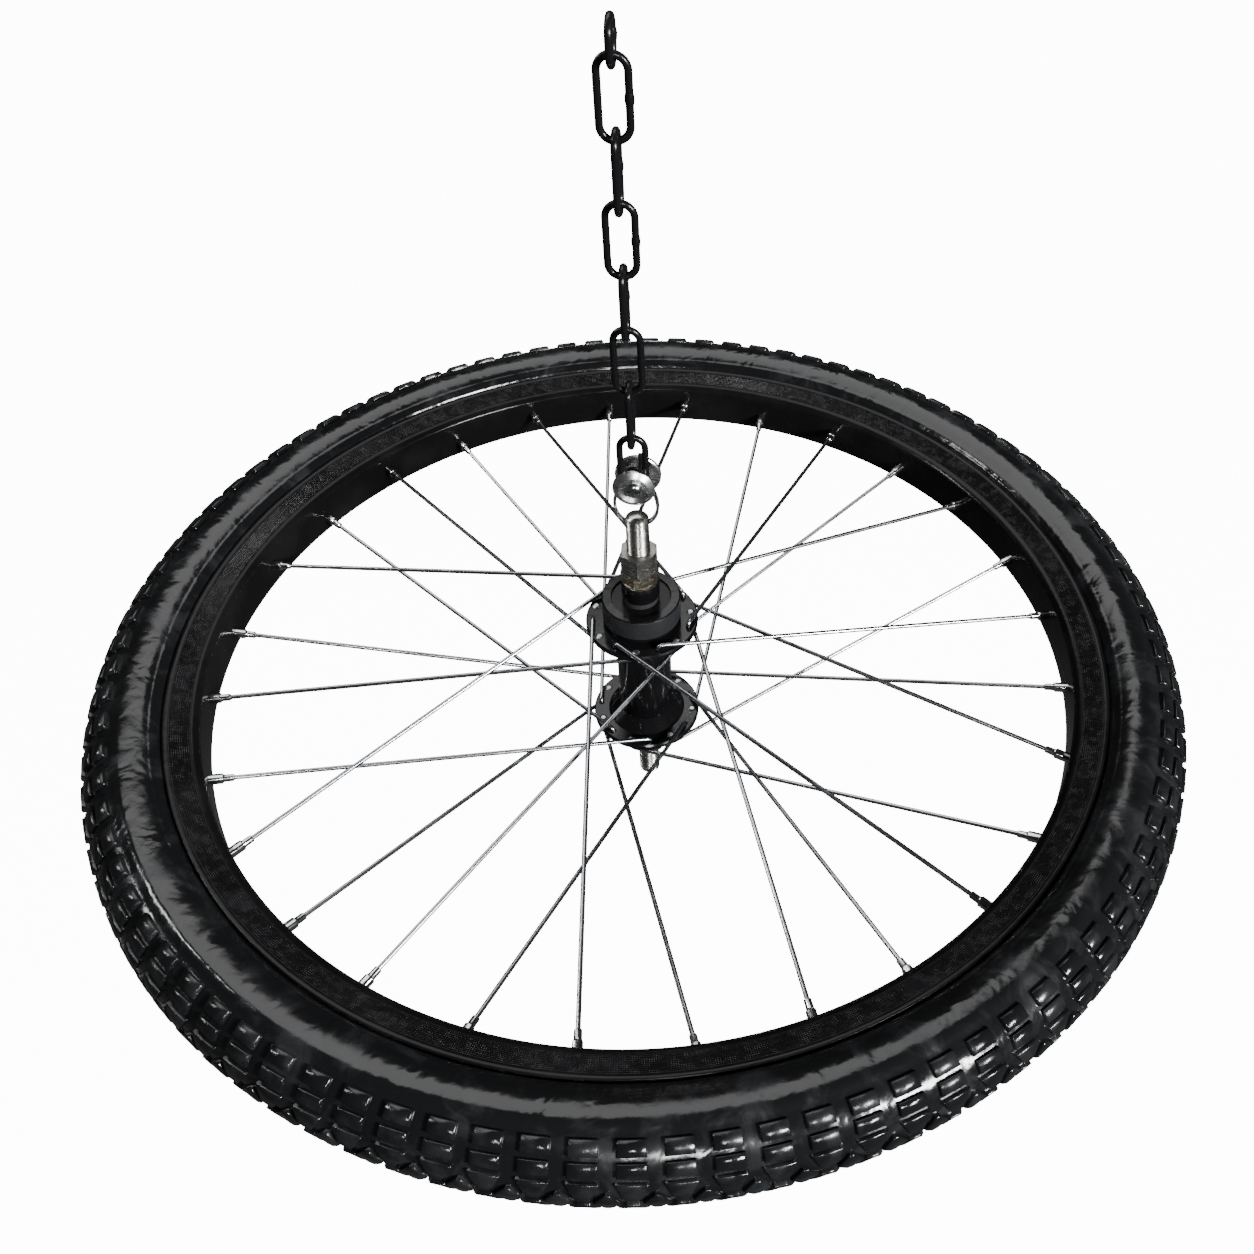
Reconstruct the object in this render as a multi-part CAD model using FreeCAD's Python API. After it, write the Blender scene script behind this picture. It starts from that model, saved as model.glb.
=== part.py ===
"""Wheel swing: a 20 x 1.75 bicycle wheel hung flat from a short welded chain.

The row frame has its origin at the hanging point, the inner top of the end link, with +Z up.
Everything below hangs along -Z: chain, connector bolt, split ring, axle, hub, spokes, rim, tyre.
Wheel parts are modelled about the wheel's own centre and then moved to where it hangs.
"""
import FreeCAD, Part
import math
import os

Vector = FreeCAD.Vector
X_AXIS = Vector(1, 0, 0)
Y_AXIS = Vector(0, 1, 0)
Z_AXIS = Vector(0, 0, 1)

# ---- fits, in millimetres -------------------------------------------------------------------
loose_gap = 0.3          # between curved faces that hang or run on each other
seat_gap = 0.05          # screwed, pushed-on and pressed parts
race_gap = 0.12          # between a ball and each of its races

# ---- chain ----------------------------------------------------------------------------------
chain_wire = 2.7
chain_pitch = 24.8       # inner length of a link
chain_width = 12.8       # outer width of a link
chain_links = 7
end_link_length = 11.4   # inner length of the short end link
weld_swell = 0.3         # how far the weld stands out of the wire
weld_length = 4.0

# ---- connector ------------------------------------------------------------------------------
bolt_radius = 2.0
bolt_head_radius = 3.8
bolt_head_height = 2.4
bolt_tail = 2.0          # thread that shows behind the nut
cup_radius = 8.6
cup_thickness = 2.8
cup_dish_depth = 1.2
cup_ridge_radius = 6.2
cup_dish_radius = 4.2
disc_radius = 9.5
disc_thickness = 2.2
disc_hole_radius = 3.2
disc_offset = 1.0        # the loose rear disc hangs to one side on its large hole
tab_washer_radius = 4.2
tab_thickness = 0.8
tab_height = 12.0
tab_width = 3.0
tab_side = 3.1           # the tab stands this far to one side of the bolt
connector_nut_flats = 7.0
connector_nut_height = 4.4

# ---- split ring: two coils of wire side by side, pulled into a pear shape ---------------------
ring_wire = 1.4
ring_half_width = 8.65
ring_half_height = 13.4
ring_narrowing = 0.25    # how much narrower the top is than the bottom
ring_coil_gap = 0.1
ring_open_angle = 16.0   # degrees of each coil left open beside the step between the coils

# ---- axle and its nuts, heights from the wheel's mid-plane ------------------------------------
axle_radius = 5.0
axle_top = 88.0
axle_bottom = -83.0
axle_chamfer = 1.6
axle_hole_depth = 4.0    # from the axle's top to the cross hole's axis
# The ring's curve climbs towards both ends of the cross hole, and more in a thicker axle.
axle_hole_radius = 0.46 * axle_radius
hole_over_wire = 0.03 * axle_radius ** 2    # the hole's axis over the lowest point of the wire
tall_nut_flats = 15.0
tall_nut_height = 10.2
locknut_flats = 15.0
locknut_height = 6.4
lower_locknut_height = 8.0
spacer_radius = 8.4
upper_spacer_height = 8.0
lower_spacer_height = 5.0
key_washer_radius = 7.9
key_washer_height = 1.0

# ---- bearings -------------------------------------------------------------------------------
ball_radius = 3.175
ball_count = 8
ball_circle = 9.4
upper_ball_height = 34.0
lower_ball_height = -40.0
cup_outer_radius = 13.4
cup_floor = 5.2          # from the balls' plane to the inner end of the bearing cup
cup_lip = 3.6            # from the balls' plane to the outer end of the bearing cup
cone_barrel_radius = 7.8
cone_length = 9.0        # from the balls' plane to the cone's outer end
cap_height = 5.0         # from the balls' plane to the underside of the dust cap
cap_thickness = 1.0

# ---- hub shell ------------------------------------------------------------------------------
flange_radius = 25.25
flange_thickness = 3.0
upper_flange_height = 26.0
lower_flange_height = -36.0
barrel_radius = 12.5
boss_radius = 17.45      # thread for a screwed-on freewheel
boss_top = 41.0
boss_neck_radius = 16.2
boss_neck_length = 2.6
lower_boss_radius = 16.2
lower_boss_end = -47.0
hub_bore_radius = 7.5
flange_cone = 4.5        # length of the taper between a flange and the barrel

# ---- spokes ---------------------------------------------------------------------------------
spoke_count = 28
spoke_radius = 1.0
spoke_circle = 22.0      # radius of the circle of holes in each flange
spoke_hole_radius = 1.3
spoke_crossings = 3
spoke_head_radius = 1.8
spoke_head_height = 0.9
spoke_head_sink = 0.5
spoke_bend = 1.9
inner_run = 1.4          # spoke's centre line from the flange's inner face
outer_clear = 0.512      # what is left of the outer run where a spoke passes the flange's edge
first_hole_angle = 100.6  # of the hole that the numbering is set out from, in degrees
first_hole_number = 23
rim_hole_stagger = 1.5   # upper holes sit this far above the rim's middle, lower ones below

# ---- nipples --------------------------------------------------------------------------------
nipple_radius = 2.0
nipple_length = 12.9
nipple_head_radius = 2.9
nipple_head_height = 1.3
nipple_stand = 10.0      # how far a nipple stands out of the rim's inner wall
nipple_hole_radius = 2.5
nipple_thread_cover = 11.6

# ---- rim and tape ---------------------------------------------------------------------------
rim_inner_radius = 195.5
rim_depth = 14.1
rim_wall = 2.0
rim_half_width = 11.3    # at the inner wall
rim_flange_half_width = 15.2
rim_lip = 1.4
rim_corner = 1.7
rim_flange_radius = rim_inner_radius + rim_depth
# A spoke's centre line lies outer_run over the flange's outer face at its hole, and the slope to
# the rim takes most of that away by the flange's edge.
edge_chord = math.sqrt(flange_radius ** 2 - spoke_circle ** 2)
spoke_plan = math.sqrt(rim_inner_radius ** 2 - spoke_circle ** 2)
outer_run = outer_clear + edge_chord * (3.0 - lower_flange_height) / spoke_plan
tape_stand = 5.0         # from the rim's inner wall to the tape, over the nipple heads
tape_thickness = 0.6
tape_radius = rim_inner_radius + tape_stand
tape_half_width = rim_half_width - rim_wall + 0.1

# ---- tyre -----------------------------------------------------------------------------------
tyre_half_width = 21.0
tyre_wall = 3.6
tread_thickness = 4.5
tyre_over_flange = 0.8   # the sidewall leaves the rim this far outside its edge
tyre_leave_radius = rim_flange_radius + tyre_over_flange
tyre_leave_height = rim_flange_half_width + 0.36
tyre_section_radius = tyre_leave_radius + math.sqrt(tyre_half_width ** 2 - tyre_leave_height ** 2)
tyre_radius = tyre_section_radius + tyre_half_width
bead_radius = rim_inner_radius + 6.1
bead_half_width = rim_half_width - 1.3
bead_thickness = 3.6
bead_wire_radius = 0.9
bead_height = 4.4

# ---- where everything hangs -----------------------------------------------------------------
bow_radius = (chain_width - chain_wire) / 2
end_bow_low = -(end_link_length + chain_wire / 2)
link_advance = chain_pitch - loose_gap
first_bow_top = end_bow_low + chain_wire + loose_gap
last_bow_low = first_bow_top - (chain_pitch + chain_wire) - (chain_links - 1) * link_advance
bolt_height = last_bow_low + chain_wire / 2 + loose_gap + bolt_radius
ring_top = bolt_height + bolt_radius + loose_gap + ring_wire / 2
ring_low = ring_top - 2 * ring_half_height
ring_centre = ring_top - ring_half_height
ring_coil_offset = (ring_wire + ring_coil_gap) / 2
ring_plane = chain_wire / 2 + loose_gap + ring_coil_offset + ring_wire / 2
axle_hole_height = ring_low + hole_over_wire
wheel_height = axle_hole_height + axle_hole_depth - axle_top
wheel_place = Vector(0, ring_plane, wheel_height)

cup_back = -(chain_wire / 2 + loose_gap)
cup_face = cup_back - cup_thickness
head_seat = cup_face + cup_dish_depth
tab_face = ring_plane + ring_coil_offset + ring_wire / 2 + loose_gap
disc_face = tab_face + tab_thickness + seat_gap
nut_face = disc_face + disc_thickness + seat_gap
bolt_end = nut_face + connector_nut_height + bolt_tail

upper_cone_top = upper_ball_height + cone_length
upper_spacer_top = upper_cone_top + upper_spacer_height
key_washer_top = upper_spacer_top + key_washer_height
locknut_top = key_washer_top + locknut_height
lower_cone_end = lower_ball_height - cone_length
lower_spacer_end = lower_cone_end - lower_spacer_height


def export(name, shape):
    """Write one node, after checking that its solids are sound."""
    if not shape.isValid() or not shape.Solids:
        raise ValueError(name + " is not a sound solid")
    shape.exportStep("parts/" + name + ".step")
    print(name, len(shape.Solids), "solids", round(shape.Volume, 1), "mm3")


def revolved(points, axis=Z_AXIS):
    """Solid of revolution of a closed outline of (radius, height) points about an axis."""
    if axis == Z_AXIS:
        corners = [Vector(r, 0, h) for r, h in points]
    else:
        corners = [Vector(r, h, 0) for r, h in points]
    outline = Part.makePolygon(corners + corners[:1])
    return Part.Face(outline).revolve(Vector(), axis, 360)


def tube(outer, inner, low, high):
    """Plain ring about Z between two heights."""
    return revolved([(inner, low), (outer, low), (outer, high), (inner, high)])


def polar(radius, degrees, height=0.0):
    """Point at a radius and angle about Z."""
    turn = math.radians(degrees)
    return Vector(radius * math.cos(turn), radius * math.sin(turn), height)


def hexagon_nut(flats, height, bore, corner_angle=30.0, axis=Z_AXIS):
    """Hexagon nut from height 0 up, both ends chamfered, with a plain bore."""
    corner = flats / math.sqrt(3)
    points = [polar(corner, corner_angle + 60 * i) for i in range(6)]
    body = Part.Face(Part.makePolygon(points + points[:1])).extrude(Vector(0, 0, height))
    bevel = corner - flats / 2
    drop = bevel * math.tan(math.radians(30))
    crown = revolved([(0, 0), (flats / 2, 0), (corner, drop), (corner, height - drop),
                      (flats / 2, height), (0, height)])
    nut = body.common(crown).cut(Part.makeCylinder(bore, height + 2, Vector(0, 0, -1)))
    if axis == Y_AXIS:
        nut.rotate(Vector(), X_AXIS, -90)
    return nut


def swept(path_edges, radius):
    """Round wire along a path of lines and arcs."""
    path = Part.Wire(path_edges)
    first = path.Edges[0]
    start = first.valueAt(first.FirstParameter)
    along = first.tangentAt(first.FirstParameter)
    section = Part.Wire(Part.Circle(start, along, radius).toShape())
    return path.makePipeShell([section], True, True)


# ---- chain ----------------------------------------------------------------------------------

def chain_link(top, low, side):
    """Welded link between two bow heights, lying in the plane of Z and the side direction."""
    up = top - bow_radius
    down = low + bow_radius
    left = side * -bow_radius
    right = side * bow_radius
    edges = [
        Part.LineSegment(left + Vector(0, 0, down), left + Vector(0, 0, up)).toShape(),
        Part.Arc(left + Vector(0, 0, up), Vector(0, 0, top), right + Vector(0, 0, up)).toShape(),
        Part.LineSegment(right + Vector(0, 0, up), right + Vector(0, 0, down)).toShape(),
        Part.Arc(right + Vector(0, 0, down), Vector(0, 0, low), left + Vector(0, 0, down)).toShape(),
    ]
    body = swept(edges, chain_wire / 2)
    middle = (up + down) / 2
    half = weld_length / 2
    swell = Part.Arc(Vector(chain_wire / 2, 0, -half), Vector(chain_wire / 2 + weld_swell, 0, 0),
                     Vector(chain_wire / 2, 0, half)).toShape()
    back = Part.makePolygon([Vector(chain_wire / 2, 0, half), Vector(0, 0, half),
                             Vector(0, 0, -half), Vector(chain_wire / 2, 0, -half)])
    weld = Part.Face(Part.Wire([swell] + back.Edges)).revolve(Vector(), Z_AXIS, 360)
    weld.translate(right + Vector(0, 0, middle))
    return body.fuse(weld).removeSplitter()


def chain():
    """Short end link, then the chain's links, each turned a quarter from the last."""
    export("end_link", chain_link(chain_wire / 2, end_bow_low, Y_AXIS))
    for number in range(chain_links):
        top = first_bow_top - number * link_advance
        side = Y_AXIS if number % 2 else X_AXIS
        link = chain_link(top, top - chain_pitch - chain_wire, side)
        export("chain_link_%d" % (number + 1), link)


# ---- connector: bolt through the last link and the split ring, between two discs ---------------

def connector():
    """Domed bolt, dished front washer, tab washer, loose rear disc and nut, all about Y."""
    centre = Vector(0, 0, bolt_height)
    shank = Part.makeCylinder(bolt_radius, bolt_end - head_seat, Vector(0, head_seat, 0), Y_AXIS)
    dome_top = head_seat - bolt_head_height
    dome_edge = head_seat - bolt_head_height / 4
    arc = Part.Arc(Vector(0, dome_top, 0),
                   Vector(bolt_head_radius * 0.72, head_seat - bolt_head_height * 0.78, 0),
                   Vector(bolt_head_radius, dome_edge, 0)).toShape()
    rest = Part.makePolygon([Vector(bolt_head_radius, dome_edge, 0),
                             Vector(bolt_head_radius, head_seat, 0),
                             Vector(0, head_seat, 0), Vector(0, dome_top, 0)])
    head = Part.Face(Part.Wire([arc] + rest.Edges)).revolve(Vector(), Y_AXIS, 360)
    bolt = shank.fuse(head).removeSplitter()
    bolt.translate(centre)
    export("connector_bolt", bolt)

    hole = bolt_radius + seat_gap
    cup = revolved([(hole, cup_back), (cup_radius, cup_back), (cup_radius, cup_back - 1.0),
                    (cup_radius - 0.5, cup_back - 1.4), (cup_ridge_radius + 0.5, cup_face + 0.3),
                    (cup_ridge_radius, cup_face), (cup_ridge_radius - 0.4, cup_face + 0.15),
                    (cup_dish_radius, head_seat), (hole, head_seat)], Y_AXIS)
    cup.translate(centre)
    export("front_cup_washer", cup)

    plate = Part.makeCylinder(tab_washer_radius, tab_thickness, Vector(0, tab_face, 0), Y_AXIS)
    tab = Part.makeBox(tab_width, tab_thickness, tab_height,
                       Vector(tab_side - tab_width / 2, tab_face, 0))
    bore = Part.makeCylinder(hole, tab_thickness, Vector(0, tab_face, 0), Y_AXIS)
    washer = plate.fuse(tab).removeSplitter().cut(bore)
    washer.translate(centre)
    export("tab_washer", washer)

    disc = revolved([(disc_hole_radius, disc_face), (disc_radius - 0.4, disc_face),
                     (disc_radius, disc_face + 0.4), (disc_radius, disc_face + disc_thickness - 0.4),
                     (disc_radius - 0.4, disc_face + disc_thickness),
                     (disc_hole_radius, disc_face + disc_thickness)], Y_AXIS)
    disc.translate(centre + Vector(disc_offset, 0, 0))
    export("rear_disc", disc)

    nut = hexagon_nut(connector_nut_flats, connector_nut_height, hole, 30.0, Y_AXIS)
    nut.translate(centre + Vector(0, nut_face, 0))
    export("connector_nut", nut)


# ---- split ring -----------------------------------------------------------------------------

def ring_point(degrees):
    """Point of the pear-shaped loop: an ellipse whose width shrinks towards its top."""
    turn = math.radians(degrees)
    width = ring_half_width * (1 - ring_narrowing * math.sin(turn))
    return Vector(width * math.cos(turn), 0, ring_half_height * math.sin(turn))


def split_ring():
    """Two coils of one wire: round once in front, over a step at the side, and round behind."""
    step_half = 14.0
    start = 180 + ring_open_angle
    total = 720 - 2 * ring_open_angle
    pitch = 12
    count = int(total / pitch)
    points = []
    for i in range(count + 1):
        turned = total * i / count
        over = (turned - total / 2) / step_half
        share = max(-1.0, min(1.0, over))
        blend = math.sin(share * math.pi / 2)
        points.append(ring_point(start + turned) + Vector(0, blend * ring_coil_offset, 0))
    curve = Part.BSplineCurve()
    curve.interpolate(points)
    ring = swept([curve.toShape()], ring_wire / 2)
    ring.translate(Vector(0, ring_plane, ring_centre))
    export("split_ring", ring)


# ---- axle, cones, nuts and spacers -------------------------------------------------------------

def axle_parts():
    """Threaded axle with its cross hole, and what is screwed or slid onto it."""
    neck = axle_radius - axle_chamfer
    axle = revolved([(0, axle_bottom), (neck, axle_bottom), (axle_radius, axle_bottom + axle_chamfer),
                     (axle_radius, axle_top - axle_chamfer), (neck, axle_top), (0, axle_top)])
    cross = Part.makeCylinder(axle_hole_radius, 4 * axle_radius,
                              Vector(-2 * axle_radius, 0, axle_top - axle_hole_depth), X_AXIS)
    export("axle", hung(axle.cut(cross)))

    bore = axle_radius + seat_gap
    tall = hexagon_nut(tall_nut_flats, tall_nut_height, bore)
    tall.translate(Vector(0, 0, locknut_top))
    export("tall_nut", hung(tall))
    lock = hexagon_nut(locknut_flats, locknut_height, bore, 18.0)
    lock.translate(Vector(0, 0, key_washer_top))
    export("upper_locknut", hung(lock))
    export("key_washer", hung(tube(key_washer_radius, bore, upper_spacer_top, key_washer_top)))
    edge = 0.8
    export("upper_spacer", hung(revolved([
        (bore, upper_cone_top), (spacer_radius, upper_cone_top),
        (spacer_radius, upper_spacer_top - edge), (spacer_radius - edge, upper_spacer_top),
        (bore, upper_spacer_top)])))
    export("lower_spacer", hung(revolved([
        (bore, lower_cone_end), (spacer_radius, lower_cone_end),
        (spacer_radius, lower_spacer_end + edge), (spacer_radius - edge, lower_spacer_end),
        (bore, lower_spacer_end)])))
    low = hexagon_nut(locknut_flats, lower_locknut_height, bore, 22.0)
    low.translate(Vector(0, 0, lower_spacer_end - lower_locknut_height))
    export("lower_locknut", hung(low))
    export("upper_cone", hung(bearing_cone(upper_ball_height, 1)))
    export("lower_cone", hung(bearing_cone(lower_ball_height, -1)))


def hung(shape):
    """Move a shape from the wheel's own frame to where the wheel hangs."""
    shape.translate(wheel_place)
    return shape


def facing(shape, height, outward):
    """Put a bearing part, drawn about its balls' plane and opening upwards, at its own end."""
    if outward < 0:
        shape.rotate(Vector(), X_AXIS, 180)
    shape.translate(Vector(0, 0, height))
    return shape


def race_ring():
    """Space swept by the balls with their running gap, cut out of cup and cone."""
    return Part.makeTorus(ball_circle, ball_radius + race_gap)


def bearing_cone(height, outward):
    """Cone with its race round the balls' inner and outer side, screwed on the axle."""
    bore = axle_radius + seat_gap
    body = revolved([(bore, -1.6), (ball_circle - 0.1, -1.6), (ball_circle - 0.1, cup_lip - 0.4),
                     (cone_barrel_radius, cup_lip + 0.6), (cone_barrel_radius, cone_length),
                     (bore, cone_length)])
    lowered = tube(ball_circle + 1, ball_circle - ball_radius, -2, 0)
    return facing(body.cut(race_ring()).cut(lowered), height, outward)


def bearing_cup(height, outward):
    """Pressed cup whose race lies below and outside the balls."""
    inner = hub_bore_radius + 0.3
    body = tube(cup_outer_radius - seat_gap, inner, -cup_floor, cup_lip)
    mouth = Part.makeCylinder(ball_circle + ball_radius + race_gap, cup_lip + 1)
    return facing(body.cut(race_ring()).cut(mouth), height, outward)


def dust_cap(height, outward):
    """Thin pressed cap with a skirt, open round the cone."""
    rim = cup_outer_radius - seat_gap
    hole = cone_barrel_radius + loose_gap
    top = cap_height + cap_thickness
    body = revolved([(hole, cap_height), (rim - cap_thickness, cap_height),
                     (rim - cap_thickness, cup_lip + 0.1), (rim, cup_lip + 0.1), (rim, top - 0.3),
                     (rim - 0.3, top), (hole, top)])
    return facing(body, height, outward)


def balls(height, outward):
    """Ring of separate steel balls."""
    ring = [Part.makeSphere(ball_radius, polar(ball_circle, 360.0 * i / ball_count))
            for i in range(ball_count)]
    return facing(Part.makeCompound(ring), height, outward)


def ball_cage(height, outward):
    """Flat retaining ring outside the balls, with a finger between each pair."""
    low = ball_radius - 0.35
    outer = ball_circle + ball_radius - 0.25
    cage = tube(outer, ball_circle + 0.9, low, low + 0.7)
    for i in range(ball_count):
        finger = Part.makeBox(1.2, 0.9, low + 1.1, Vector(outer - 1.3, -0.45, -0.5))
        finger.rotate(Vector(), Z_AXIS, 360.0 * (i + 0.5) / ball_count)
        cage = cage.fuse(finger)
    cage = cage.removeSplitter()
    for i in range(ball_count):
        cage = cage.cut(Part.makeSphere(ball_radius + seat_gap, polar(ball_circle, 360.0 * i / ball_count)))
    return facing(cage, height, outward)


# ---- hub shell ------------------------------------------------------------------------------

def hub_parts():
    """Hub shell with its two spoke flanges, and the bearings inside it."""
    half = flange_thickness / 2
    upper_low = upper_flange_height - half
    lower_high = lower_flange_height + half
    round_off = 0.7
    outside = [
        (hub_bore_radius, lower_boss_end), (lower_boss_radius - 0.6, lower_boss_end),
        (lower_boss_radius, lower_boss_end + 0.6),
        (lower_boss_radius, lower_flange_height - half),
        (flange_radius - round_off, lower_flange_height - half),
        (flange_radius, lower_flange_height - half + round_off),
        (flange_radius, lower_high - round_off), (flange_radius - round_off, lower_high),
        (lower_boss_radius + 2, lower_high), (barrel_radius, lower_high + flange_cone),
        (barrel_radius, upper_low - flange_cone), (lower_boss_radius + 2, upper_low),
        (flange_radius - round_off, upper_low), (flange_radius, upper_low + round_off),
        (flange_radius, upper_flange_height + half - round_off),
        (flange_radius - round_off, upper_flange_height + half),
        (boss_neck_radius, upper_flange_height + half),
        (boss_neck_radius, upper_flange_height + half + boss_neck_length),
        (boss_radius, upper_flange_height + half + boss_neck_length),
        (boss_radius, boss_top - 0.6), (boss_radius - 0.6, boss_top), (hub_bore_radius, boss_top),
    ]
    shell = revolved(outside)
    upper_seat = upper_ball_height - cup_floor
    lower_seat = lower_ball_height + cup_floor
    shell = shell.cut(Part.makeCylinder(cup_outer_radius, boss_top, Vector(0, 0, upper_seat)))
    shell = shell.cut(Part.makeCylinder(cup_outer_radius, -lower_boss_end, Vector(0, 0, lower_seat),
                                        Vector(0, 0, -1)))
    for number in range(1, spoke_count + 1):
        upper, trailing = spoke_kind(number)
        flange = upper_flange_height if upper else lower_flange_height
        at = polar(spoke_circle, hub_angle(number), flange)
        low = at - Vector(0, 0, flange_thickness)
        shell = shell.cut(Part.makeCylinder(spoke_hole_radius, 2 * flange_thickness, low))
        out = 1 if upper else -1
        side = out if trailing else -out
        sunk = at + Vector(0, 0, side * (half - spoke_head_sink))
        shell = shell.cut(Part.makeCylinder(spoke_head_radius + seat_gap, flange_thickness, sunk,
                                            Vector(0, 0, side)))
    export("hub_shell", hung(shell))
    for side, height, outward in (("upper", upper_ball_height, 1), ("lower", lower_ball_height, -1)):
        export(side + "_bearing_cup", hung(bearing_cup(height, outward)))
        export(side + "_dust_cap", hung(dust_cap(height, outward)))
        export(side + "_balls", hung(balls(height, outward)))
        export(side + "_ball_cage", hung(ball_cage(height, outward)))


# ---- spokes and nipples -------------------------------------------------------------------------

def spoke_kind(number):
    """Even holes belong to the upper flange; every second spoke of a flange trails."""
    return number % 2 == 0, number % 4 >= 2


def rim_angle(number):
    """Angle of a rim hole, in degrees."""
    return first_hole_angle + (number - first_hole_number) * 360.0 / spoke_count


def hub_angle(number):
    """Angle of the flange hole that a spoke comes from: three crossings round the hub."""
    turn = spoke_crossings * 720.0 / spoke_count
    trailing = spoke_kind(number)[1]
    return rim_angle(number) + (turn if trailing else -turn)


def rim_hole(number):
    """Centre of a nipple's hole on the rim's inner wall."""
    upper = spoke_kind(number)[0]
    return polar(rim_inner_radius, rim_angle(number), rim_hole_stagger if upper else -rim_hole_stagger)


def elbow(number):
    """Corner where a spoke's centre line turns from its flange hole towards the rim."""
    upper, trailing = spoke_kind(number)
    flange = upper_flange_height if upper else lower_flange_height
    out = 1 if upper else -1
    if trailing:
        height = flange - out * (flange_thickness / 2 + inner_run)
    else:
        height = flange + out * (flange_thickness / 2 + outer_run)
    return polar(spoke_circle, hub_angle(number), height)


def spoke(number):
    """Headed spoke: head in its flange, elbow, and a straight run into its nipple."""
    upper, trailing = spoke_kind(number)
    flange = upper_flange_height if upper else lower_flange_height
    out = 1 if upper else -1
    side = out if trailing else -out
    corner = elbow(number)
    head = polar(spoke_circle, hub_angle(number),
                 flange + side * (flange_thickness / 2 - spoke_head_sink + seat_gap))
    target = rim_hole(number)
    along = (target - corner).normalize()
    drop = (head - corner).normalize()
    half_turn = (math.pi - drop.getAngle(along)) / 2
    trim = spoke_bend * math.tan(half_turn)
    start = corner + drop * trim
    leave = corner + along * trim
    middle_way = (drop + along).normalize()
    apex = corner + middle_way * (spoke_bend / math.cos(half_turn) - spoke_bend)
    end = target + along * (nipple_thread_cover - nipple_stand)
    edges = [Part.LineSegment(head, start).toShape(), Part.Arc(start, apex, leave).toShape(),
             Part.LineSegment(leave, end).toShape()]
    wire = swept(edges, spoke_radius)
    cap = Part.makeCylinder(spoke_head_radius, spoke_head_height, head, Vector(0, 0, side))
    return wire.fuse(cap).removeSplitter()


def nipple(number):
    """Nipple on the spoke's own line, its head inside the rim."""
    target = rim_hole(number)
    along = (target - elbow(number)).normalize()
    foot = target - along * nipple_stand
    body = Part.makeCylinder(nipple_radius, nipple_length, foot, along)
    head_at = foot + along * (nipple_length + 0.2)
    head = Part.makeCylinder(nipple_head_radius, nipple_head_height, head_at - along * 0.2, along)
    bore = Part.makeCylinder(spoke_radius + seat_gap, nipple_length, foot - along, along)
    return body.fuse(head).removeSplitter().cut(bore)


def spokes():
    """Spokes in four groups by flange and direction, and nipples in two by flange."""
    for side, upper in (("upper", True), ("lower", False)):
        for way, trailing in (("trailing", True), ("leading", False)):
            group = [spoke(n) for n in range(1, spoke_count + 1) if spoke_kind(n) == (upper, trailing)]
            export("%s_%s_spokes" % (side, way), hung(Part.makeCompound(group)))
        group = [nipple(n) for n in range(1, spoke_count + 1) if spoke_kind(n)[0] == upper]
        export(side + "_nipples", hung(Part.makeCompound(group)))


# ---- rim, tape and tyre -------------------------------------------------------------------------

def rim():
    """Single-wall rim with slanted sides and a lip at each edge, drilled for the nipples."""
    outer = [(rim_inner_radius, rim_half_width - rim_corner),
             (rim_inner_radius + rim_corner * 0.3, rim_half_width - rim_corner * 0.3),
             (rim_inner_radius + rim_corner, rim_half_width),
             (rim_flange_radius - rim_lip, rim_flange_half_width),
             (rim_flange_radius, rim_flange_half_width),
             (rim_flange_radius, rim_flange_half_width - rim_lip - 0.6),
             (rim_flange_radius - rim_lip, rim_flange_half_width - rim_lip - 0.8)]
    inner = [(rim_flange_radius - 4.6, rim_flange_half_width - rim_wall - 1.2),
             (rim_inner_radius + rim_wall + 0.8, rim_half_width - rim_wall),
             (rim_inner_radius + rim_wall, rim_half_width - rim_wall - 0.8)]
    upper = outer + inner
    ring = revolved(upper + [(r, -h) for r, h in reversed(upper)])
    for number in range(1, spoke_count + 1):
        target = rim_hole(number)
        along = (target - elbow(number)).normalize()
        drill = Part.makeCylinder(nipple_hole_radius, 8, target - along * 3, along)
        ring = ring.cut(drill)
    export("rim", hung(ring))
    tape = tube(tape_radius + tape_thickness, tape_radius, -tape_half_width, tape_half_width)
    export("rim_tape", hung(tape))


def arc_between(first, middle, last):
    """Arc through three (radius, height) points of a section."""
    return Part.Arc(*[Vector(r, 0, h) for r, h in (first, middle, last)]).toShape()


def tyre():
    """Clincher tyre: round section outside and inside, with two wired beads in the rim."""
    leave = tyre_leave_radius
    leave_height = tyre_leave_height
    inside = tyre_radius - tread_thickness
    root = leave + 0.2
    root_height = leave_height - tyre_wall - 1.2
    under = rim_flange_half_width - rim_lip - 1.4
    foot = [(leave, leave_height), (leave - 0.3, under), (bead_radius + bead_height, bead_half_width + 0.9),
            (bead_radius, bead_half_width), (bead_radius, bead_half_width - bead_thickness),
            (bead_radius + bead_height, bead_half_width - bead_thickness), (root, root_height)]
    upper = Part.makePolygon([Vector(r, 0, h) for r, h in foot])
    lower = Part.makePolygon([Vector(r, 0, -h) for r, h in foot])
    outside = arc_between(foot[0], (tyre_radius, 0), (leave, -leave_height))
    lining = arc_between(foot[-1], (inside, 0), (root, -root_height))
    section = Part.Wire(Part.__sortEdges__(upper.Edges + lower.Edges + [outside, lining]))
    body = Part.Face(section).revolve(Vector(), Z_AXIS, 360)
    wires = []
    for way in (1, -1):
        at = Vector(0, 0, way * (bead_half_width - bead_thickness / 2))
        wires.append(Part.makeTorus(bead_radius + bead_height / 2, bead_wire_radius, at))
    for wire in wires:
        body = body.cut(wire)
    export("tyre", hung(body))
    export("bead_wires", hung(Part.makeCompound(wires)))


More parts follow.
